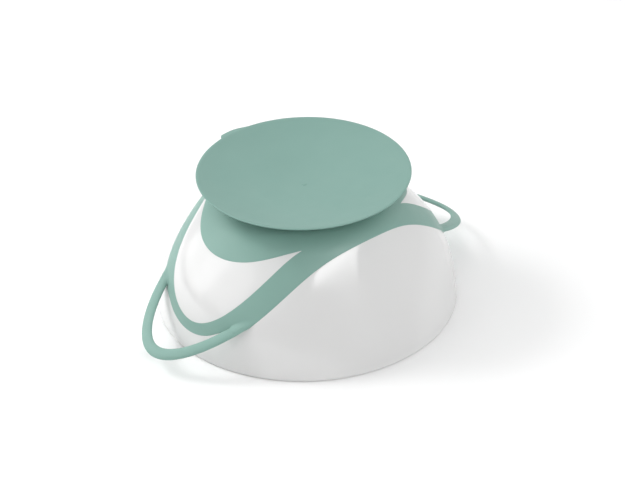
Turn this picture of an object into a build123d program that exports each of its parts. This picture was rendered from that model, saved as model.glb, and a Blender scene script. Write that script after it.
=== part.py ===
from build123d import *
from math import cos, pi, radians, sin, sqrt
import os

# Toddler's suction bowl, upturned: the rim rests on Z = 0 and the suction cup faces up.
# X runs from handle to handle, Y across the waist. Millimetres.

# Body: a round rim that narrows to an oval base
RIM_RADIUS = 62.5
WALL = 2.8
SKIN = 1.0
RIM_ROUND = 0.6
BASE_TOP = 51.0
BASE_ROUND = 5.0
FLOOR_TOP = 45.0
FLOOR_ROUND = 9.0
TAPER_HEIGHT = 44.0
LENGTH_LOSS = 20.7
LENGTH_POWER = 2.42
WIDTH_LOSS = 20.6
ROUND_EXPONENT = 2.0
SQUARE_GAIN = 0.15
SQUARE_HEIGHT = 50.0
SECTION_POINTS = 24

# Recess in the base and the spigot that the suction cup is pushed on to
RECESS_RADIUS = 22.0
RECESS_FLOOR = 47.3
SPIGOT_RADIUS = 7.0
SPIGOT_TOP = 51.7
SPIGOT_CHAMFER = 0.6
FIT_CLEARANCE = 0.06

# Suction cup
LIP_RADIUS = 43.6
LIP_TOP = 59.8
LIP_FLAT = 0.8
LIP_THICKNESS = 1.0
DISH_BOTTOM = 53.4
DISH_THICKNESS = 2.0
HUB_RADIUS = 14.0
HUB_BASE = RECESS_FLOOR + 0.3
BORE_TOP = SPIGOT_TOP + 0.3
HUB_BLEND = 4.0
HUB_BLEND_RISE = 1.4
THIN_WIDTH = 12.0
THIN_DROP = 4.3
TAB_WIDTH = 16.0
TAB_REACH = 2.8
TAB_ROOT = 0.5
TAB_THICKNESS = 1.3
TAB_DROP = 0.7
TAB_ROUND = 3.0

# Handle loops: a flat oval cord, leaning outwards
CORD_WIDTH = 4.8
CORD_THICKNESS = 2.2
CORD_LEAN = 38.8
HANDLE_TIP = (78.9, 0.0, 8.4)
HANDLE_NOSE = (77.5, 6.1, 9.1)
HANDLE_SHOULDER = (73.2, 12.2, 11.2)
HANDLE_LEG = (63.8, 19.4, 15.8)
HANDLE_ROOT = (42.2, 28.2, 26.1)

# Edges of the green skin in side view (X, Z), from the waist out to the handle end
HEM_INNER = [(0, 46.6), (14.2, 44.8), (30.0, 38.0), (39.8, 31.5)]
HEM_OUTER = [(51.7, 21.0), (56.6, 17.5), (60.0, 13.6), (61.7, 10.6), (63.6, 6.9)]
HEM_END_SLOPE = -1.95
NOTCH = (25.9, 47.1)
WINDOW_LOW_POINTS = [NOTCH, (36.7, 40.6), (45.1, 34.0), (53.0, 26.4), (58.3, 19.6), (60.7, 15.6), (64.0, 8.8)]
WINDOW_HIGH_POINTS = [NOTCH, (33.4, 44.9), (40.0, 42.3), (44.8, 40.3), (46.3, 39.7), (50.5, 37.8)]
REGION_REACH = 90.0
REGION_TOP = 70.0


def shell_size(z, inset):
    """Half length, half width and squareness of the outer oval at height z, drawn in by inset."""
    over = max(0.0, z - (BASE_TOP - BASE_ROUND))
    corner = BASE_ROUND - sqrt(BASE_ROUND**2 - over**2)
    half_length = RIM_RADIUS - LENGTH_LOSS * (z / TAPER_HEIGHT) ** LENGTH_POWER - corner - inset
    half_width = RIM_RADIUS - WIDTH_LOSS * z / TAPER_HEIGHT - corner - inset
    exponent = ROUND_EXPONENT + SQUARE_GAIN * sin(pi * z / SQUARE_HEIGHT)
    return half_length, half_width, exponent


def cavity_size(z):
    """The same for the inside of the bowl, which turns into its floor with its own radius."""
    over = max(0.0, z - (FLOOR_TOP - FLOOR_ROUND))
    corner = FLOOR_ROUND - sqrt(FLOOR_ROUND**2 - over**2)
    return shell_size(z, WALL + corner)


def oval_points(half_length, half_width, exponent):
    """Evenly spread points of a superellipse."""
    points = []
    for step in range(SECTION_POINTS):
        angle = radians(360.0 * step / SECTION_POINTS)
        across = abs(cos(angle) / half_length) ** exponent + abs(sin(angle) / half_width) ** exponent
        reach = across ** (-1.0 / exponent)
        points.append((reach * cos(angle), reach * sin(angle)))
    return points


# Outer form of the bowl, over the green skin
OUTER_HEIGHTS = [0, 9, 18, 27, 36, BASE_TOP - BASE_ROUND, BASE_TOP - 2.0, BASE_TOP - 0.5, BASE_TOP]
with BuildPart() as outer_form:
    for height in OUTER_HEIGHTS:
        with BuildSketch(Plane.XY.offset(height)):
            with BuildLine():
                Spline(oval_points(*shell_size(height, 0)), periodic=True)
            make_face()
    loft()

# The same form under the green skin
CORE_TOP = BASE_TOP - SKIN
with BuildPart() as core_form:
    for height in OUTER_HEIGHTS:
        level = height * CORE_TOP / BASE_TOP
        with BuildSketch(Plane.XY.offset(level)):
            with BuildLine():
                Spline(oval_points(*shell_size(height, SKIN)), periodic=True)
            make_face()
    loft()

# Space inside the bowl
CAVITY_HEIGHTS = [0, 9, 18, 27, FLOOR_TOP - FLOOR_ROUND, FLOOR_TOP - 3.5, FLOOR_TOP - 0.9, FLOOR_TOP]
with BuildPart() as cavity_form:
    for height in CAVITY_HEIGHTS:
        with BuildSketch(Plane.XY.offset(height)):
            with BuildLine():
                Spline(oval_points(*cavity_size(height)), periodic=True)
            make_face()
    loft()

# Everything that the green skin may cover, as a side view pushed through the bowl
with BuildPart() as skin_region:
    with BuildSketch(Plane.XZ):
        with BuildLine():
            hem = Spline(HEM_INNER + HEM_OUTER, tangents=[(1, 0), (1, HEM_END_SLOPE)])
            mirror(hem, about=Plane.YZ)
            far_x, far_z = HEM_OUTER[-1]
            Polyline(
                (far_x, far_z),
                (REGION_REACH, far_z),
                (REGION_REACH, REGION_TOP),
                (-REGION_REACH, REGION_TOP),
                (-REGION_REACH, far_z),
                (-far_x, far_z),
            )
        make_face()
    extrude(amount=REGION_REACH, both=True)
    with BuildSketch(Plane.XZ):
        with BuildLine():
            low_edge = Spline(WINDOW_LOW_POINTS)
            high_edge = Spline(WINDOW_HIGH_POINTS)
            low_end = low_edge @ 1
            high_end = high_edge @ 1
            Polyline(low_end, (REGION_REACH, low_end.Y), (REGION_REACH, high_end.Y), high_end)
        make_face()
        mirror(about=Plane.YZ)
    extrude(amount=REGION_REACH, both=True, mode=Mode.SUBTRACT)

# Space that the green skin takes out of the hard shell
skin_space = skin_region.part - core_form.part

# Bowl: the white hard shell, with the recess and the spigot in its base
with BuildPart() as bowl_shell:
    add(outer_form.part)
    add(cavity_form.part, mode=Mode.SUBTRACT)
    fillet(bowl_shell.edges().group_by(Axis.Z)[0], RIM_ROUND)
    add(skin_space, mode=Mode.SUBTRACT)
    with BuildSketch(Plane.XY.offset(RECESS_FLOOR)):
        Circle(RECESS_RADIUS)
    extrude(amount=BASE_TOP, mode=Mode.SUBTRACT)
    with BuildSketch(Plane.XY.offset(RECESS_FLOOR)):
        Circle(SPIGOT_RADIUS)
    extrude(amount=SPIGOT_TOP - RECESS_FLOOR)
    chamfer(bowl_shell.edges().group_by(Axis.Z)[-1], SPIGOT_CHAMFER)
bowl_shell.part.label = "bowl_shell"

# One handle loop: an oval cord swept from its root in one band, round the tip, to the other band
lean = radians(CORD_LEAN)
far_side = [HANDLE_NOSE, HANDLE_SHOULDER, HANDLE_LEG, HANDLE_ROOT]
near_side = [(x, -y, z) for x, y, z in reversed(far_side)]
with BuildPart() as handle_loop:
    with BuildLine() as handle_path:
        loop_line = Spline(near_side + [HANDLE_TIP] + far_side)
    heading = loop_line % 0
    across = Vector(sin(lean), 0, cos(lean)).cross(heading)
    with BuildSketch(Plane(origin=loop_line @ 0, x_dir=across, z_dir=heading)):
        Ellipse(CORD_WIDTH / 2, CORD_THICKNESS / 2)
    sweep(path=handle_path.wires()[0], is_frenet=True)
outside_loop = handle_loop.part - outer_form.part

# Green skin: base platform with its lobes, the bands and both handle loops, in one moulding
with BuildPart() as grip_overmould:
    add(outer_form.part)
    add(skin_region.part, mode=Mode.INTERSECT)
    add(core_form.part, mode=Mode.SUBTRACT)
    with BuildSketch(Plane.XY.offset(RECESS_FLOOR)):
        Circle(RECESS_RADIUS)
    extrude(amount=BASE_TOP, mode=Mode.SUBTRACT)
    add(outside_loop)
    mirror(outside_loop, about=Plane.YZ)
grip_overmould.part.label = "grip_overmould"

# Suction cup: thin dish on a hub that grips the spigot, with a pull tab under its lip
bore_radius = SPIGOT_RADIUS + FIT_CLEARANCE
dish_underside = DISH_BOTTOM - DISH_THICKNESS
lip_underside = LIP_TOP - LIP_THICKNESS
dish_radius = LIP_RADIUS - LIP_FLAT
with BuildPart() as suction_cup:
    with BuildSketch(Plane.XZ):
        with BuildLine():
            Polyline((0, DISH_BOTTOM), (0, BORE_TOP), (bore_radius, BORE_TOP), (bore_radius, HUB_BASE))
            Polyline((bore_radius, HUB_BASE), (HUB_RADIUS, HUB_BASE), (HUB_RADIUS, dish_underside))
            Spline(
                [
                    (HUB_RADIUS, dish_underside),
                    (HUB_RADIUS + HUB_BLEND, dish_underside + HUB_BLEND_RISE),
                    (LIP_RADIUS - THIN_WIDTH, LIP_TOP - THIN_DROP),
                    (LIP_RADIUS, lip_underside),
                ]
            )
            Polyline((LIP_RADIUS, lip_underside), (LIP_RADIUS, LIP_TOP), (dish_radius, LIP_TOP))
            TangentArc((0, DISH_BOTTOM), (dish_radius, LIP_TOP), tangent=(1, 0))
        make_face()
    revolve(axis=Axis.Z)
    with BuildSketch(Plane.XY.offset(lip_underside - TAB_DROP)):
        with Locations((0, LIP_RADIUS - TAB_ROOT)):
            RectangleRounded(TAB_WIDTH, 2 * (TAB_ROOT + TAB_REACH), TAB_ROUND)
        Circle(LIP_RADIUS - TAB_ROOT, mode=Mode.SUBTRACT)
    extrude(amount=TAB_THICKNESS)
suction_cup.part.label = "suction_cup"

os.makedirs("parts", exist_ok=True)
export_step(bowl_shell.part, "parts/bowl_shell.step")
export_step(grip_overmould.part, "parts/grip_overmould.step")
export_step(suction_cup.part, "parts/suction_cup.step")
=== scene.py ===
from math import asin, atan2, cos, pi, radians, sin, sqrt

import bmesh
import bpy
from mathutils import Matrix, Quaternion, Vector
from mathutils.kdtree import KDTree


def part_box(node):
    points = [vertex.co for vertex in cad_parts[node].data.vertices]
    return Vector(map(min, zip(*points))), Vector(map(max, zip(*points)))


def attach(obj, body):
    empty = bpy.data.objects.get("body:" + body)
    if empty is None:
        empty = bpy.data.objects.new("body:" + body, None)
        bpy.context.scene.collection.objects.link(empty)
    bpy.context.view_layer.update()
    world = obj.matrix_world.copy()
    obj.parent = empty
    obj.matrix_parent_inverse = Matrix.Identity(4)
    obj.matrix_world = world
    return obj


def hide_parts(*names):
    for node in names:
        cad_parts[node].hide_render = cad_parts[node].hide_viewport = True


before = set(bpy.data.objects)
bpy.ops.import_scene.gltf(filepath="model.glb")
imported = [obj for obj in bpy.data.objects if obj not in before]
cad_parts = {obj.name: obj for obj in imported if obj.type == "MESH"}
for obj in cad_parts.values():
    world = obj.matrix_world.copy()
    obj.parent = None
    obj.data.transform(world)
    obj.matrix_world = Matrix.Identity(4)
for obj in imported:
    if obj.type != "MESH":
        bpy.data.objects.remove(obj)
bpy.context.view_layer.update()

# Toddler's suction bowl, upturned: rim on the floor, suction cup on top, handle loops along X.
# Lengths are in millimetres and are turned to metres when a mesh is made.
MM = 0.001
_, shell_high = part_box("bowl_shell")
_, skin_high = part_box("grip_overmould")
cup_low, cup_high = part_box("suction_cup")

# ---------------------------------------------------------------- sizes of the bowl
RIM_RADIUS = shell_high.x / MM
WALL = 2.8
SKIN = 1.0
# The rim's outer edge rolls under further than the CAD's fillet, which leaves a dark line at the table
RIM_ROUND = 0.8
RIM_UNDERCUT = 2.0
BASE_TOP = skin_high.z / MM
BASE_ROUND = 5.0
ROUND_START = BASE_TOP - BASE_ROUND
FLOOR_TOP = 45.0
FLOOR_ROUND = 9.0
TAPER_HEIGHT = 44.0
LENGTH_LOSS = 20.7
LENGTH_POWER = 2.42
WIDTH_LOSS = 20.6
ROUND_EXPONENT = 2.0
SQUARE_GAIN = 0.15
SQUARE_HEIGHT = 50.0
RECESS_RADIUS = 22.0
RECESS_FLOOR = 47.3
SPIGOT_RADIUS = 7.0
SPIGOT_TOP = shell_high.z / MM
SPIGOT_CHAMFER = 0.6

# ---------------------------------------------------------------- sizes of the suction cup
CUP_TOP = cup_high.z / MM
CUP_BOTTOM = cup_low.z / MM
LIP_RADIUS = cup_high.x / MM
# The lip's edge is thinner than the CAD's, as the real one is
LIP_THICKNESS = 0.45
LIP_FLAT = 0.7
DISH_DEPTH = 6.4
DISH_BOTTOM = CUP_TOP - DISH_DEPTH
DISH_STEPS = 40
CUP_COLUMNS = 360
PIP_RADIUS = 1.0
PIP_HEIGHT = 0.2
# Rings of the moulding pip, as parts of its radius and its height
PIP_RINGS = ((0.6, 1.0), (0.85, 0.8))
# The cup's underside thickens towards the hub; it starts this far in from the lip and this far below it
UNDERSIDE_START = 1.0
UNDERSIDE_DROP = 0.4
UNDERSIDE_POWER = 1.3
UNDERSIDE_STEPS = 20
HUB_RADIUS = 14.0
HUB_BLEND = 3.0
HUB_BLEND_DROP = 0.3
HUB_BLEND_STEPS = 8
HUB_ROUND = 0.4
# The middle of the hub's rounded edge, as a part of its radius in from either face
HUB_ROUND_MIDDLE = 0.3
FIT_CLEARANCE = 0.06
TOP_CLEARANCE = 0.3
BORE_RADIUS = SPIGOT_RADIUS + FIT_CLEARANCE
BORE_TOP = SPIGOT_TOP + TOP_CLEARANCE
TAB_DROP = 0.25
TAB_THICKNESS = 1.0
TAB_LOW = TAB_DROP + TAB_THICKNESS
TAB_ROUND = 0.15
TAB_LEFT = -8.6
TAB_FLAT_LEFT = -6.2
TAB_FLAT_RIGHT = -1.5
TAB_RIGHT = 10.5
TAB_REACH = cup_high.y / MM - LIP_RADIUS
# Round the lip's edge and down the tab: distance in from the lip, distance below its top, part of the
# tab's reach, and how much lower the point lies where the tab is
LIP_OUTLINE = (
    (0.25, 0.0, 0.0, 0.0),
    (0.08, 0.06, 0.0, 0.0),
    (0.0, 0.2, 0.0, 0.0),
    (0.03, LIP_THICKNESS - 0.1, 0.05, 0.2),
    (0.1, LIP_THICKNESS, 0.1, TAB_DROP),
    (0.12, LIP_THICKNESS, 0.9, TAB_DROP),
    (0.12, LIP_THICKNESS, 1.0, TAB_DROP + TAB_ROUND),
    (0.12, LIP_THICKNESS, 1.0, TAB_LOW - TAB_ROUND),
    (0.14, LIP_THICKNESS, 0.9, TAB_LOW),
    (0.2, LIP_THICKNESS + 0.04, 0.0, TAB_LOW),
    (0.5, LIP_THICKNESS + 0.18, 0.0, 0.3),
)

# ---------------------------------------------------------------- edges of the green skin
# Heights of the skin's edges round the bowl: a mean and its swing over 2, 4 and 6 times the angle
HEM_SIDE_WAVES = (30.06, -20.78, -4.99, -0.71)
HEM_END_WAVES = (61.67, -53.59, 0.62, 1.5)
HEM_END_ANGLE = radians(14)
HEM_SIDE_ANGLE = radians(28)
WINDOW_LOW_WAVES = (39.39, -16.48, -6.35, -1.45)
WINDOW_HIGH_WAVES = (44.91, -3.84, -1.71, 0.21)
# The window closes to a notch between these angles; the lobe's edge rises a little more past it
NOTCH_SEARCH = (radians(20), radians(70))
NOTCH_HALVINGS = 50
PAST_NOTCH_RISE = 1.2
# Next to a seam the surface rolls off: distances from the seam, and the parts of the full drop there
SEAM_DROP = 0.07
SEAM_STEPS = (0.0, 0.07, 0.2, 0.5)
SEAM_DROPS = (1.0, 0.45, 0.08, 0.0)
# A seam takes up no more than this part of a narrow strip, and dies out where the window is narrower
SEAM_SHARE = 0.4
SEAM_FADE_GAP = 0.8
WIDE_ROOM = 10.0

# ---------------------------------------------------------------- handle loops
# The cord's middle: powers 0, 2 and 4 of t along X and Z, powers 1, 3 and 5 along Y, for t from -1 to 1
LOOP_X = (78.9, -14.7, -14.0)
LOOP_Y = (19.5, 9.9, -3.7)
LOOP_Z = (8.4, 7.4, 6.5)
LOOP_REACH = 1.07
CORD_WIDTH = 4.8
CORD_THICKNESS = 2.0
CORD_LEAN = radians(38.8)
LOOP_STEPS = 120
CORD_SIDES = 32
# Step of t over which the cord's direction is taken
LOOP_SLOPE_STEP = 0.001
# Distances are taken from frames along the cord; past its ends they grow beyond a small slack
FRAME_STEPS = 400
END_SLACK = 0.3
LEAST_SIZE = 0.01
# Where the legs run into the band: the cord thins and sinks, and the band rises to it with a fillet
ROOT_T = 0.92
ROOT_SHRINK = 0.06
ROOT_DEPTH = 0.8
ROOT_BLEND = 0.8
ROOT_RISE = 3.0
ROOT_STEP = 0.004
ROOT_STEP_SHARE = 0.7
NORMAL_TURN = 0.01
NORMAL_RISE = 0.2

# ---------------------------------------------------------------- mesh density
# Columns of a quarter turn: at the end, under the loop's root, up to the notch, and along the side
ROOT_START = radians(15)
ROOT_END = radians(38)
END_COLUMNS = 14
ROOT_COLUMNS = 66
NOTCH_COLUMNS = 12
SIDE_COLUMNS = 32
ANGLE_SLACK = 1e-9
# Rings over each surface
FLOOR_RINGS = 11
FLOOR_ROUND_RINGS = 12
CAVITY_RINGS = 23
RIM_INNER_RINGS = 5
RIM_OUTER_RINGS = 8
WALL_RINGS = 26
BED_RINGS = 8
WINDOW_RINGS = 16
BAND_RINGS = 36
LOBE_RINGS = 22
LOBE_BED_RINGS = 10
PLATFORM_RINGS = 5
PLATFORM_BED_RINGS = 3
# Round flats end in a small ring that is closed with triangles
FLOOR_CENTRE = 0.3
CENTRE_SHARE = 1 / 3
WELD_DISTANCE = 0.0005
SHARP_ANGLE = radians(35)


# ---------------------------------------------------------------- mesh helpers
def new_piece(name, bm, body, node, material):
    """Turns a bmesh in millimetres into a finished piece that stands for a CAD node."""
    bmesh.ops.remove_doubles(bm, verts=bm.verts, dist=WELD_DISTANCE)
    bmesh.ops.dissolve_degenerate(bm, edges=bm.edges, dist=WELD_DISTANCE)
    bmesh.ops.recalc_face_normals(bm, faces=bm.faces)
    mesh = bpy.data.meshes.new(name)
    for vertex in bm.verts:
        vertex.co *= MM
    for face in bm.faces:
        face.smooth = True
    bm.to_mesh(mesh)
    bm.free()
    mesh.set_sharp_from_angle(angle=SHARP_ANGLE)
    piece = bpy.data.objects.new(name, mesh)
    bpy.context.scene.collection.objects.link(piece)
    mesh.materials.append(material)
    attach(piece, body)
    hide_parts(node)
    return piece


def patch(bm, grid, closed):
    """Quads between rows of points; closed joins each row's last point to its first."""
    rows = [[bm.verts.new(point) for point in row] for row in grid]
    columns = len(rows[0])
    for low, high in zip(rows, rows[1:]):
        for i in range(columns if closed else columns - 1):
            j = (i + 1) % columns
            bm.faces.new((low[i], low[j], high[j], high[i]))


def mix(a, b, t):
    """The value between a and b at the part t of the way."""
    return a + (b - a) * t


def smooth(t):
    """Eases from 0 to 1 while t goes from 0 to 1."""
    t = min(1.0, max(0.0, t))
    return t * t * (3 - 2 * t)


# ---------------------------------------------------------------- the bowl's surface
def profile(u, inset):
    """Height and draw-in at distance u up the outer wall and over the base's rounded edge."""
    turn = min(max((u - ROUND_START) / BASE_ROUND, 0.0), pi / 2)
    radius = BASE_ROUND - inset
    height = min(u, ROUND_START) + radius * sin(turn)
    drawn_in = BASE_ROUND - radius * cos(turn)
    return height, drawn_in


def oval_reach(angle, height, drawn_in):
    """Radius of the oval wall in one direction."""
    half_length = RIM_RADIUS - LENGTH_LOSS * (height / TAPER_HEIGHT) ** LENGTH_POWER - drawn_in
    half_width = RIM_RADIUS - WIDTH_LOSS * height / TAPER_HEIGHT - drawn_in
    n = ROUND_EXPONENT + SQUARE_GAIN * sin(pi * height / SQUARE_HEIGHT)
    return (abs(cos(angle) / half_length) ** n + abs(sin(angle) / half_width) ** n) ** (-1.0 / n)


def wall_point(angle, u, inset):
    """The wall's point in one direction, at distance u up the wall and at depth inset under its surface."""
    height, drawn_in = profile(u, inset)
    reach = oval_reach(angle, height, drawn_in)
    return Vector((reach * cos(angle), reach * sin(angle), height))


def waves(terms, angle):
    """A mean and its swings over 2, 4 and 6 times the angle, added up."""
    return sum(term * cos(2 * k * angle) for k, term in enumerate(terms))


def up_the_wall(height):
    """The distance u at which the outer wall has this height."""
    if height <= ROUND_START:
        return height
    return ROUND_START + BASE_ROUND * asin(min(1.0, (height - ROUND_START) / BASE_ROUND))


def from_x_axis(angle):
    """The angle folded into the first quadrant."""
    angle = angle % pi
    return min(angle, pi - angle)


def hem(angle):
    """Lower edge of the skin: one curve at the ends, one along the sides, blended under the roots."""
    share = smooth((from_x_axis(angle) - HEM_END_ANGLE) / (HEM_SIDE_ANGLE - HEM_END_ANGLE))
    return up_the_wall(mix(waves(HEM_END_WAVES, angle), waves(HEM_SIDE_WAVES, angle), share))


def find_notch():
    """The angle from X at which the window's two edges meet."""
    low, high = NOTCH_SEARCH
    for _ in range(NOTCH_HALVINGS):
        middle = (low + high) / 2
        gap = waves(WINDOW_HIGH_WAVES, middle) - waves(WINDOW_LOW_WAVES, middle)
        low, high = (middle, high) if gap > 0 else (low, middle)
    return low


NOTCH = find_notch()
NOTCH_U = up_the_wall(waves(WINDOW_LOW_WAVES, NOTCH))


def window_low(angle):
    """Lower edge of the window, and past the notch the line that carries on from it."""
    folded = from_x_axis(angle)
    if folded < NOTCH:
        return up_the_wall(waves(WINDOW_LOW_WAVES, folded))
    return NOTCH_U + PAST_NOTCH_RISE * smooth((folded - NOTCH) / (pi / 2 - NOTCH))


def window_high(angle):
    """Upper edge of the window; past the notch it is the same line as the lower edge."""
    folded = from_x_axis(angle)
    if folded < NOTCH:
        return up_the_wall(waves(WINDOW_HIGH_WAVES, folded))
    return window_low(angle)


def window_gap(angle):
    """How far the window is open, up the wall."""
    return max(0.0, window_high(angle) - window_low(angle))


def steps(start, end, count):
    """Evenly spread values from start up to, but without, end."""
    return [mix(start, end, i / count) for i in range(count)]


QUARTER = (
    steps(0, ROOT_START, END_COLUMNS)
    + steps(ROOT_START, ROOT_END, ROOT_COLUMNS)
    + steps(ROOT_END, NOTCH, NOTCH_COLUMNS)
    + steps(NOTCH, pi / 2, SIDE_COLUMNS)
)
ANGLES = (
    QUARTER
    + [pi - a for a in reversed(QUARTER[1:] + [pi / 2])]
    + [pi + a for a in QUARTER]
    + [2 * pi - a for a in reversed(QUARTER[1:] + [pi / 2])]
)
WINDOW_REACH = NOTCH + ANGLE_SLACK
WINDOW_ANGLES = [a - 2 * pi for a in ANGLES if a >= 2 * pi - WINDOW_REACH]
WINDOW_ANGLES += [a for a in ANGLES if a <= WINDOW_REACH]
EDGE_U = ROUND_START + BASE_ROUND * pi / 2


def edge_rows(angles, edge, direction, room, fade=None):
    """Rows next to a seam, rolling off towards it; direction is +1 where they lie above the edge."""
    rows = []
    for step, drop in zip(SEAM_STEPS, SEAM_DROPS):
        row = []
        for angle in angles:
            distance = min(step, SEAM_SHARE * room(angle))
            strength = fade(angle) if fade else 1.0
            inset = SEAM_DROP * drop * strength
            row.append(wall_point(angle, edge(angle) + direction * distance, inset))
        rows.append(row)
    return rows


def between_rows(angles, low, high, count, low_gap, high_gap, inset=0.0):
    """Rows spread evenly between two edges, clear of the seam rows at either end."""
    rows = []
    for i in range(1, count):
        row = []
        for angle in angles:
            start = low(angle) + low_gap(angle)
            end = high(angle) - high_gap(angle)
            row.append(wall_point(angle, mix(start, end, i / count), inset))
        rows.append(row)
    return rows


def seam_clearance(room):
    """The width that the seam rows take up in a strip, as a function of the angle."""
    return lambda angle: min(SEAM_STEPS[-1], SEAM_SHARE * room(angle))


def seam_width(angle):
    return SEAM_STEPS[-1]


def nothing(angle):
    return 0.0


def plenty(angle):
    return WIDE_ROOM


def rim_top(angle):
    return RIM_ROUND


def base_edge(angle):
    return EDGE_U


def notch_fade(angle):
    """The seam dies out where the window closes."""
    return smooth(window_gap(angle) / SEAM_FADE_GAP)


def band_room(angle):
    """Width of the green band under the window."""
    return window_low(angle) - hem(angle)


def wall_row(angles, edge, inset):
    """The points of an edge, at one depth under the wall's surface."""
    return [wall_point(angle, edge(angle), inset) for angle in angles]


def circle_row(radius, height):
    return [Vector((radius * cos(a), radius * sin(a), height)) for a in ANGLES]


def oval_row(height, drawn_in, part=1.0):
    """A ring of the bowl's oval, drawn in by a distance and shrunk to a part of its size."""
    row = []
    for angle in ANGLES:
        reach = oval_reach(angle, height, drawn_in) * part
        row.append(Vector((reach * cos(angle), reach * sin(angle), height)))
    return row


def platform_rows(height, inset, count):
    """Rows over the flat base, from its rounded oval edge in to the round recess."""
    rows = []
    for i in range(count + 1):
        row = []
        for angle in ANGLES:
            outer = wall_point(angle, EDGE_U, inset)
            reach = mix(outer.xy.length, RECESS_RADIUS, i / count)
            row.append(Vector((reach * cos(angle), reach * sin(angle), height)))
        rows.append(row)
    return rows


def bed_below_windows():
    """Rows of the surface between the shell and the skin, under the band."""
    rows = [wall_row(ANGLES, hem, SKIN)]
    rows += between_rows(ANGLES, hem, window_low, BED_RINGS, nothing, nothing, SKIN)
    rows.append(wall_row(ANGLES, window_low, SKIN))
    return rows


def bed_above_windows():
    """Rows of the surface between the shell and the skin, under the lobes and the base platform."""
    rows = [wall_row(ANGLES, window_high, SKIN)]
    rows += between_rows(ANGLES, window_high, base_edge, LOBE_BED_RINGS, nothing, nothing, SKIN)
    rows += platform_rows(BASE_TOP - SKIN, SKIN, PLATFORM_BED_RINGS)
    return rows


def inside_rows():
    """Rows from the middle of the bowl's floor, down its inside and round the rim."""
    rows = [circle_row(FLOOR_CENTRE, FLOOR_TOP)]
    for i in range(1, FLOOR_RINGS + 1):
        rows.append(oval_row(FLOOR_TOP, WALL + FLOOR_ROUND, i / FLOOR_RINGS))
    for i in range(1, FLOOR_ROUND_RINGS + 1):
        turn = pi / 2 * (1 - i / FLOOR_ROUND_RINGS)
        height = FLOOR_TOP - FLOOR_ROUND + FLOOR_ROUND * sin(turn)
        rows.append(oval_row(height, WALL + FLOOR_ROUND * (1 - cos(turn))))
    for i in range(1, CAVITY_RINGS + 1):
        height = mix(FLOOR_TOP - FLOOR_ROUND, RIM_ROUND, i / CAVITY_RINGS)
        rows.append([wall_point(a, height, WALL) for a in ANGLES])
    for i in range(1, RIM_INNER_RINGS + 1):
        turn = pi / 2 * i / RIM_INNER_RINGS
        height = RIM_ROUND * (1 - sin(turn))
        inset = WALL - RIM_ROUND * (1 - cos(turn))
        rows.append([wall_point(a, height, inset) for a in ANGLES])
    for i in range(RIM_OUTER_RINGS + 1):
        turn = pi / 2 * i / RIM_OUTER_RINGS
        height = RIM_ROUND * (1 - cos(turn))
        inset = RIM_UNDERCUT * (1 - sin(turn))
        rows.append([wall_point(a, height, inset) for a in ANGLES])
    return rows


# ---------------------------------------------------------------- pieces
def build_shell(material):
    """The white bowl: inside, rim, outer wall, windows, the bed under the skin, recess and spigot."""
    bm = bmesh.new()
    inside = inside_rows()
    centre_fan(bm, inside[0], FLOOR_TOP)

    low_edge = edge_rows(ANGLES, hem, -1, plenty)
    low_edge.reverse()
    wall = between_rows(ANGLES, rim_top, hem, WALL_RINGS, nothing, seam_width)
    patch(bm, inside + wall + low_edge, True)
    patch(bm, [low_edge[-1]] + bed_below_windows(), True)

    for turn in (0.0, pi):
        angles = [a + turn for a in WINDOW_ANGLES]
        first = edge_rows(angles, window_low, 1, window_gap, notch_fade)
        last = edge_rows(angles, window_high, -1, window_gap, notch_fade)
        last.reverse()
        clear = seam_clearance(window_gap)
        middle = between_rows(angles, window_low, window_high, WINDOW_RINGS, clear, clear)
        foot = wall_row(angles, window_low, SKIN)
        head = wall_row(angles, window_high, SKIN)
        patch(bm, [foot] + first + middle + last + [head], False)

    upper = bed_above_windows()
    upper.append(circle_row(RECESS_RADIUS, RECESS_FLOOR))
    upper.append(circle_row((RECESS_RADIUS + SPIGOT_RADIUS) / 2, RECESS_FLOOR))
    upper.append(circle_row(SPIGOT_RADIUS, RECESS_FLOOR))
    upper.append(circle_row(SPIGOT_RADIUS, SPIGOT_TOP - SPIGOT_CHAMFER))
    upper.append(circle_row(SPIGOT_RADIUS - SPIGOT_CHAMFER, SPIGOT_TOP))
    upper.append(circle_row(SPIGOT_RADIUS * CENTRE_SHARE, SPIGOT_TOP))
    patch(bm, upper, True)
    centre_fan(bm, upper[-1], SPIGOT_TOP)
    return new_piece("shell", bm, "bowl", "bowl_shell", material)


def centre_fan(bm, row, height):
    """Closes a round hole with triangles to its centre."""
    ring = [bm.verts.new(point) for point in row]
    centre = bm.verts.new((0, 0, height))
    for a, b in zip(ring, ring[1:] + ring[:1]):
        bm.faces.new((a, b, centre))


def loop_centre(t):
    """The middle of the +X loop's cord."""
    x = LOOP_X[0] + LOOP_X[1] * t**2 + LOOP_X[2] * t**4
    y = LOOP_Y[0] * t + LOOP_Y[1] * t**3 + LOOP_Y[2] * t**5
    z = LOOP_Z[0] + LOOP_Z[1] * t**2 + LOOP_Z[2] * t**4
    return Vector((x, y, z))


def loop_frame(t):
    """Centre, direction, and the directions across and over the cord's section, on the +X side."""
    along = (loop_centre(t + LOOP_SLOPE_STEP) - loop_centre(t - LOOP_SLOPE_STEP)).normalized()
    across = Vector((sin(CORD_LEAN), 0, cos(CORD_LEAN))).cross(along).normalized()
    return loop_centre(t), along, across, along.cross(across)


LOOP_FRAMES = [loop_frame(LOOP_REACH * (2 * i / FRAME_STEPS - 1)) for i in range(FRAME_STEPS + 1)]
LOOP_TREE = KDTree(len(LOOP_FRAMES))
for index, loop_place in enumerate(LOOP_FRAMES):
    LOOP_TREE.insert(loop_place[0], index)
LOOP_TREE.balance()


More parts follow.
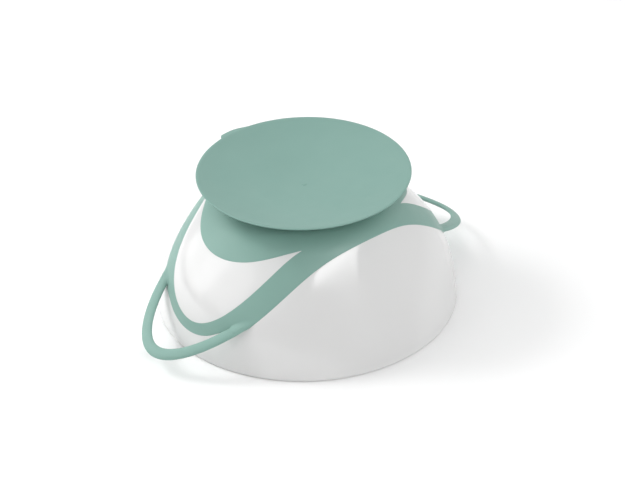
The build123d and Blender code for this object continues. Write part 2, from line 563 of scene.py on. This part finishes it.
def loop_distance(point):
    """Distance from the surface of the nearer loop, below zero inside its cord."""
    place = Vector((abs(point.x), point.y, point.z))
    _, index, _ = LOOP_TREE.find(place)
    centre, along, across, over = LOOP_FRAMES[index]
    offset = place - centre
    wide = offset.dot(across)
    high = offset.dot(over)
    size = sqrt((wide / (CORD_WIDTH / 2)) ** 2 + (high / (CORD_THICKNESS / 2)) ** 2)
    beyond = max(0.0, abs(offset.dot(along)) - END_SLACK)
    return sqrt(wide**2 + high**2) * (1 - 1 / max(size, LEAST_SIZE)) + beyond


def joined(a, b):
    """Two distances as one, with a fillet where the surfaces meet."""
    return min(a, b) - max(ROOT_BLEND - abs(a - b), 0.0) ** 2 / (4 * ROOT_BLEND)


def raised(point, normal):
    """The wall's point moved out until it reaches the loop's filleted surface."""
    height = 0.0
    gap = joined(height, loop_distance(point))
    while height < ROOT_RISE and gap < -ROOT_STEP:
        height += max(-gap * ROOT_STEP_SHARE, ROOT_STEP)
        gap = joined(height, loop_distance(point + normal * height))
    return point + normal * height


def wall_normal(angle, point):
    """The direction straight out of the wall at one of its points."""
    u = up_the_wall(point.z)
    along = wall_point(angle + NORMAL_TURN, u, 0.0) - wall_point(angle - NORMAL_TURN, u, 0.0)
    up = wall_point(angle, u + NORMAL_RISE, 0.0) - wall_point(angle, u - NORMAL_RISE, 0.0)
    return along.cross(up).normalized()


def raise_to_loops(rows):
    """Lifts the band where the loops' legs run into it, with a small fillet at their foot."""
    lifted = []
    for row in rows:
        new_row = []
        for angle, point in zip(ANGLES, row):
            if loop_distance(point) < ROOT_BLEND:
                point = raised(point, wall_normal(angle, point))
            new_row.append(point)
        lifted.append(new_row)
    return lifted


def add_loop(bm, side):
    """One handle loop on the +X or -X side: an oval cord whose section leans outwards."""
    rows = []
    for i in range(LOOP_STEPS + 1):
        t = LOOP_REACH * (2 * i / LOOP_STEPS - 1)
        centre, along, across, over = loop_frame(t)
        shrink = 1 - ROOT_SHRINK * smooth((abs(t) - ROOT_T) / (1 - ROOT_T))
        row = []
        for j in range(CORD_SIDES):
            turn = 2 * pi * j / CORD_SIDES
            offset = across * (CORD_WIDTH / 2 * cos(turn)) + over * (CORD_THICKNESS / 2 * sin(turn))
            point = centre + offset * shrink
            sunk = point.xy.length - oval_reach(atan2(point.y, point.x), point.z, 0.0) + ROOT_DEPTH
            if sunk < 0:
                outward = Vector((point.x, point.y, 0)).normalized()
                point -= outward * sunk
            row.append(Vector((side * point.x, point.y, point.z)))
        rows.append(row)
    patch(bm, rows, True)
    for row in (rows[0], rows[-1]):
        cap = [bm.verts.new(point) for point in row]
        bm.faces.new(cap)


def build_skin(material):
    """The green skin: bands, lobes and base platform, 1 mm thick, with both handle loops."""
    bm = bmesh.new()
    clear = seam_clearance(band_room)
    first = edge_rows(ANGLES, hem, 1, band_room)
    last = edge_rows(ANGLES, window_low, -1, band_room, notch_fade)
    last.reverse()
    band = between_rows(ANGLES, hem, window_low, BAND_RINGS, clear, clear)
    under = bed_below_windows()
    patch(bm, [under[0]] + raise_to_loops(first + band + last), True)
    patch(bm, under, True)
    for turn in (0.0, pi):
        angles = [a + turn for a in WINDOW_ANGLES]
        for edge in (window_low, window_high):
            outer = [wall_point(a, edge(a), SEAM_DROP * notch_fade(a)) for a in angles]
            inner = wall_row(angles, edge, SKIN)
            patch(bm, [outer, inner], False)

    lobe = edge_rows(ANGLES, window_high, 1, plenty, notch_fade)
    lobe += between_rows(ANGLES, window_high, base_edge, LOBE_RINGS, seam_width, nothing)
    lobe += platform_rows(BASE_TOP, 0.0, PLATFORM_RINGS)
    lobe.append(circle_row(RECESS_RADIUS, BASE_TOP - SKIN))
    patch(bm, lobe, True)
    patch(bm, bed_above_windows(), True)
    for side in (1, -1):
        add_loop(bm, side)
    return new_piece("grip_skin", bm, "bowl", "grip_overmould", material)


def tab_share(x):
    """How far the pull tab stands out at x: a square left corner, then a long sweep back to the lip."""
    rise = smooth((x - TAB_LEFT) / (TAB_FLAT_LEFT - TAB_LEFT))
    fall = 1 - smooth((x - TAB_FLAT_RIGHT) / (TAB_RIGHT - TAB_FLAT_RIGHT))
    return sqrt(rise) * fall


def dish_rows():
    """Radius and height over the dish: a small moulding pip, then a shallow sphere out to the lip."""
    edge = LIP_RADIUS - LIP_FLAT
    sphere = (edge**2 + DISH_DEPTH**2) / (2 * DISH_DEPTH)
    rows = [(PIP_RADIUS * part, DISH_BOTTOM + PIP_HEIGHT * rise) for part, rise in PIP_RINGS]
    for i in range(DISH_STEPS + 1):
        r = mix(PIP_RADIUS, edge, i / DISH_STEPS)
        rows.append((r, DISH_BOTTOM + sphere - sqrt(sphere**2 - r**2)))
    return rows


def hub_rows():
    """Radius and height under the cup: its thickening underside, the hub and the blind bore."""
    start = LIP_RADIUS - UNDERSIDE_START
    high = CUP_TOP - LIP_THICKNESS - UNDERSIDE_DROP
    low = DISH_BOTTOM - HUB_BLEND_DROP
    bend = HUB_RADIUS + HUB_BLEND
    middle = HUB_ROUND_MIDDLE * HUB_ROUND
    rows = []
    for i in range(UNDERSIDE_STEPS + 1):
        r = mix(start, bend, i / UNDERSIDE_STEPS)
        rows.append((r, mix(low, high, ((r - bend) / (start - bend)) ** UNDERSIDE_POWER)))
    for i in range(1, HUB_BLEND_STEPS + 1):
        turn = pi / 2 * i / HUB_BLEND_STEPS
        rows.append((bend - HUB_BLEND * sin(turn), low - HUB_BLEND * (1 - cos(turn))))
    rows += [
        (HUB_RADIUS, CUP_BOTTOM + HUB_ROUND),
        (HUB_RADIUS - middle, CUP_BOTTOM + middle),
        (HUB_RADIUS - HUB_ROUND, CUP_BOTTOM),
        (BORE_RADIUS + HUB_ROUND, CUP_BOTTOM),
        (BORE_RADIUS, CUP_BOTTOM + HUB_ROUND),
        (BORE_RADIUS, BORE_TOP),
        (BORE_RADIUS * CENTRE_SHARE, BORE_TOP),
    ]
    return rows


def build_cup(material):
    """The suction cup: a thin dish with a rounded lip, a hub with a blind bore, and a pull tab."""
    outline = [(r, z, 0.0, 0.0) for r, z in dish_rows()]
    for inward, down, share, drop in LIP_OUTLINE:
        outline.append((LIP_RADIUS - inward, CUP_TOP - down, share, drop))
    outline += [(r, z, 0.0, 0.0) for r, z in hub_rows()]
    bm = bmesh.new()
    turns = [2 * pi * i / CUP_COLUMNS for i in range(CUP_COLUMNS)]
    rows = []
    for r, z, share, drop in outline:
        row = []
        for a in turns:
            tab = tab_share(r * cos(a)) if sin(a) > 0 else 0.0
            row.append(Vector((r * cos(a), r * sin(a) + TAB_REACH * share * tab, z - drop * tab)))
        rows.append(row)
    patch(bm, rows, True)
    centre_fan(bm, rows[0], DISH_BOTTOM + PIP_HEIGHT)
    centre_fan(bm, rows[-1], BORE_TOP)
    return new_piece("cup", bm, "cup", "suction_cup", material)


# ---------------------------------------------------------------- materials
# The range that nearly all values of a noise texture lie in
NOISE_LOW = 0.3
NOISE_HIGH = 0.7


def new_material(name, color, roughness):
    material = bpy.data.materials.new(name)
    material.use_nodes = True
    tree = material.node_tree
    shader = tree.nodes["Principled BSDF"]
    shader.inputs["Base Color"].default_value = (*color, 1)
    shader.inputs["Roughness"].default_value = roughness
    return material, tree, shader


def noise_texture(tree, scale, detail):
    coordinates = tree.nodes.new("ShaderNodeTexCoord")
    texture = tree.nodes.new("ShaderNodeTexNoise")
    texture.inputs["Scale"].default_value = scale
    texture.inputs["Detail"].default_value = detail
    tree.links.new(coordinates.outputs["Object"], texture.inputs["Vector"])
    return texture


def spread(tree, texture, low, high):
    """Maps a texture's middle values on to a range."""
    ramp = tree.nodes.new("ShaderNodeMapRange")
    ramp.inputs["From Min"].default_value = NOISE_LOW
    ramp.inputs["From Max"].default_value = NOISE_HIGH
    ramp.inputs["To Min"].default_value = low
    ramp.inputs["To Max"].default_value = high
    tree.links.new(texture.outputs["Fac"], ramp.inputs["Value"])
    return ramp.outputs["Result"]


def bump(tree, shader, texture, strength, distance):
    """Fine unevenness of the surface; the distance is in metres."""
    node = tree.nodes.new("ShaderNodeBump")
    node.inputs["Strength"].default_value = strength
    node.inputs["Distance"].default_value = distance
    tree.links.new(texture.outputs["Fac"], node.inputs["Height"])
    tree.links.new(node.outputs["Normal"], shader.inputs["Normal"])


def tinted(tree, shader, texture, dark, light):
    """Colour that drifts a little between two close shades."""
    blend = tree.nodes.new("ShaderNodeMix")
    blend.data_type = "RGBA"
    blend.inputs[6].default_value = (*dark, 1)
    blend.inputs[7].default_value = (*light, 1)
    tree.links.new(spread(tree, texture, 0.0, 1.0), blend.inputs[0])
    tree.links.new(blend.outputs[2], shader.inputs["Base Color"])


def white_plastic():
    material, tree, shader = new_material(
        "white_polypropylene", color=(0.714, 0.714, 0.711), roughness=0.15
    )
    tint = noise_texture(tree, scale=25, detail=2)
    tinted(tree, shader, tint, dark=(0.709, 0.71, 0.707), light=(0.719, 0.719, 0.716))
    smudge = noise_texture(tree, scale=60, detail=4)
    tree.links.new(spread(tree, smudge, low=0.13, high=0.18), shader.inputs["Roughness"])
    bump(tree, shader, noise_texture(tree, scale=900, detail=2), strength=0.04, distance=0.0002)
    shader.inputs["IOR"].default_value = 1.49
    return material


def green_elastomer():
    material, tree, shader = new_material("green_soft_touch", color=(0.218, 0.371, 0.325), roughness=0.5)
    tint = noise_texture(tree, scale=40, detail=3)
    tinted(tree, shader, tint, dark=(0.213, 0.366, 0.32), light=(0.223, 0.377, 0.33))
    smudge = noise_texture(tree, scale=90, detail=4)
    tree.links.new(spread(tree, smudge, low=0.44, high=0.56), shader.inputs["Roughness"])
    bump(tree, shader, noise_texture(tree, scale=4200, detail=3), strength=0.12, distance=0.00008)
    shader.inputs["IOR"].default_value = 1.45
    shader.inputs["Sheen Weight"].default_value = 0.08
    shader.inputs["Sheen Roughness"].default_value = 0.4
    return material


def green_silicone():
    material, tree, shader = new_material("green_silicone", color=(0.183, 0.327, 0.286), roughness=0.55)
    tint = noise_texture(tree, scale=35, detail=3)
    tinted(tree, shader, tint, dark=(0.179, 0.321, 0.28), light=(0.188, 0.334, 0.292))
    smudge = noise_texture(tree, scale=80, detail=4)
    tree.links.new(spread(tree, smudge, low=0.5, high=0.62), shader.inputs["Roughness"])
    bump(tree, shader, noise_texture(tree, scale=3600, detail=3), strength=0.12, distance=0.00008)
    shader.inputs["IOR"].default_value = 1.42
    shader.inputs["Sheen Weight"].default_value = 0.1
    shader.inputs["Sheen Roughness"].default_value = 0.5
    return material


# ---------------------------------------------------------------- stage, light and camera
# Half the floor's width, in metres
FLOOR_HALF = 6.0
FLOOR_SIGNS = ((-1, -1), (1, -1), (1, 1), (-1, 1))


def build_floor():
    material, _, shader = new_material("white_floor", color=(0.94, 0.94, 0.94), roughness=0.8)
    shader.inputs["Specular IOR Level"].default_value = 0.0
    mesh = bpy.data.meshes.new("floor")
    corners = [(x * FLOOR_HALF, y * FLOOR_HALF, 0) for x, y in FLOOR_SIGNS]
    mesh.from_pydata(corners, [], [(0, 1, 2, 3)])
    mesh.materials.append(material)
    floor = bpy.data.objects.new("floor", mesh)
    bpy.context.scene.collection.objects.link(floor)


def area_light(name, place, target, width, height, roll, power, mirrored):
    data = bpy.data.lights.new(name, "AREA")
    data.shape = "RECTANGLE"
    data.size = width
    data.size_y = height
    data.energy = power
    light = bpy.data.objects.new(name, data)
    light.location = place
    facing = (target - place).to_track_quat("-Z", "Y")
    light.rotation_euler = (facing @ Quaternion((0, 0, 1), radians(roll))).to_euler()
    light.visible_glossy = mirrored
    bpy.context.scene.collection.objects.link(light)


def direction(azimuth, elevation):
    """A unit vector; the azimuth is measured from X towards Y."""
    turn = radians(azimuth)
    rise = radians(elevation)
    return Vector((cos(rise) * cos(turn), cos(rise) * sin(turn), sin(rise)))


# Azimuth and elevation in degrees, and strength
GLOWS = (
    (0, 25, 0.88),
    (60, 25, 0.45),
    (120, 25, 0.11),
    (0, 90, 0.65),
)
GLOW_SHARPNESS = 4.0
# Azimuth and elevation in degrees, width and height in metres, roll in degrees, power in watts, and
# whether the box shows up in glossy surfaces
SOFTBOXES = (
    (126, 42, 0.3, 0.3, 0, 3.4, False),
    (124, 26, 0.9, 0.9, 0, 4.5, True),
    (85, 50, 1.3, 1.3, 0, 4.6, True),
    (155, 27, 1.0, 0.8, 0, 3.4, True),
    (190, 45, 1.0, 1.0, 0, 1.1, True),
    (270, 28, 0.85, 0.27, -25, 6.8, True),
)
LIGHT_DISTANCE = 1.2
LIGHT_TARGET = Vector((0, 0, 0.03))


def build_world():
    """Soft light from all round, stronger from some sides than from others."""
    world = bpy.data.worlds.new("studio")
    bpy.context.scene.world = world
    world.use_nodes = True
    tree = world.node_tree
    coordinates = tree.nodes.new("ShaderNodeTexCoord")
    total = None
    for azimuth, elevation, strength in GLOWS:
        facing = tree.nodes.new("ShaderNodeVectorMath")
        facing.operation = "DOT_PRODUCT"
        facing.inputs[1].default_value = direction(azimuth, elevation)
        tree.links.new(coordinates.outputs["Generated"], facing.inputs[0])
        lit = tree.nodes.new("ShaderNodeMath")
        lit.operation = "MAXIMUM"
        lit.inputs[1].default_value = 0.0
        tree.links.new(facing.outputs["Value"], lit.inputs[0])
        narrowed = tree.nodes.new("ShaderNodeMath")
        narrowed.operation = "POWER"
        narrowed.inputs[1].default_value = GLOW_SHARPNESS
        tree.links.new(lit.outputs["Value"], narrowed.inputs[0])
        added = tree.nodes.new("ShaderNodeMath")
        added.operation = "MULTIPLY_ADD"
        added.inputs[1].default_value = strength
        added.inputs[2].default_value = 0.0
        tree.links.new(narrowed.outputs["Value"], added.inputs[0])
        if total:
            tree.links.new(total, added.inputs[2])
        total = added.outputs["Value"]
    background = tree.nodes["Background"]
    background.inputs["Color"].default_value = (1, 1, 1, 1)
    tree.links.new(total, background.inputs["Strength"])


def build_lights():
    build_world()
    for azimuth, elevation, width, height, roll, power, mirrored in SOFTBOXES:
        place = direction(azimuth, elevation) * LIGHT_DISTANCE + LIGHT_TARGET
        area_light("softbox", place, LIGHT_TARGET, width, height, roll, power, mirrored)


CAMERA_AZIMUTH = radians(-39.07)
CAMERA_ELEVATION = radians(33.38)
CAMERA_ROLL = radians(-1.61)
CAMERA_DISTANCE = 0.9218
CAMERA_LENS = 128.6
# The point that the camera looks at, in metres: to the right of the bowl's axis, and above the floor
TARGET_RIGHT = 0.00269
TARGET_HEIGHT = 0.02141


def build_camera():
    back = Vector(
        (
            sin(CAMERA_AZIMUTH) * cos(CAMERA_ELEVATION),
            -cos(CAMERA_AZIMUTH) * cos(CAMERA_ELEVATION),
            sin(CAMERA_ELEVATION),
        )
    )
    right = Vector((cos(CAMERA_AZIMUTH), sin(CAMERA_AZIMUTH), 0))
    target = right * TARGET_RIGHT + Vector((0, 0, TARGET_HEIGHT))
    data = bpy.data.cameras.new("camera")
    data.lens = CAMERA_LENS
    camera = bpy.data.objects.new("camera", data)
    camera.location = target + back * CAMERA_DISTANCE
    roll = Quaternion(back, CAMERA_ROLL)
    camera.rotation_euler = (roll @ back.to_track_quat("Z", "Y")).to_euler()
    bpy.context.scene.collection.objects.link(camera)
    bpy.context.scene.camera = camera


build_shell(white_plastic())
build_skin(green_elastomer())
build_cup(green_silicone())
build_floor()
build_lights()
build_camera()
bpy.context.scene.view_settings.view_transform = "Standard"
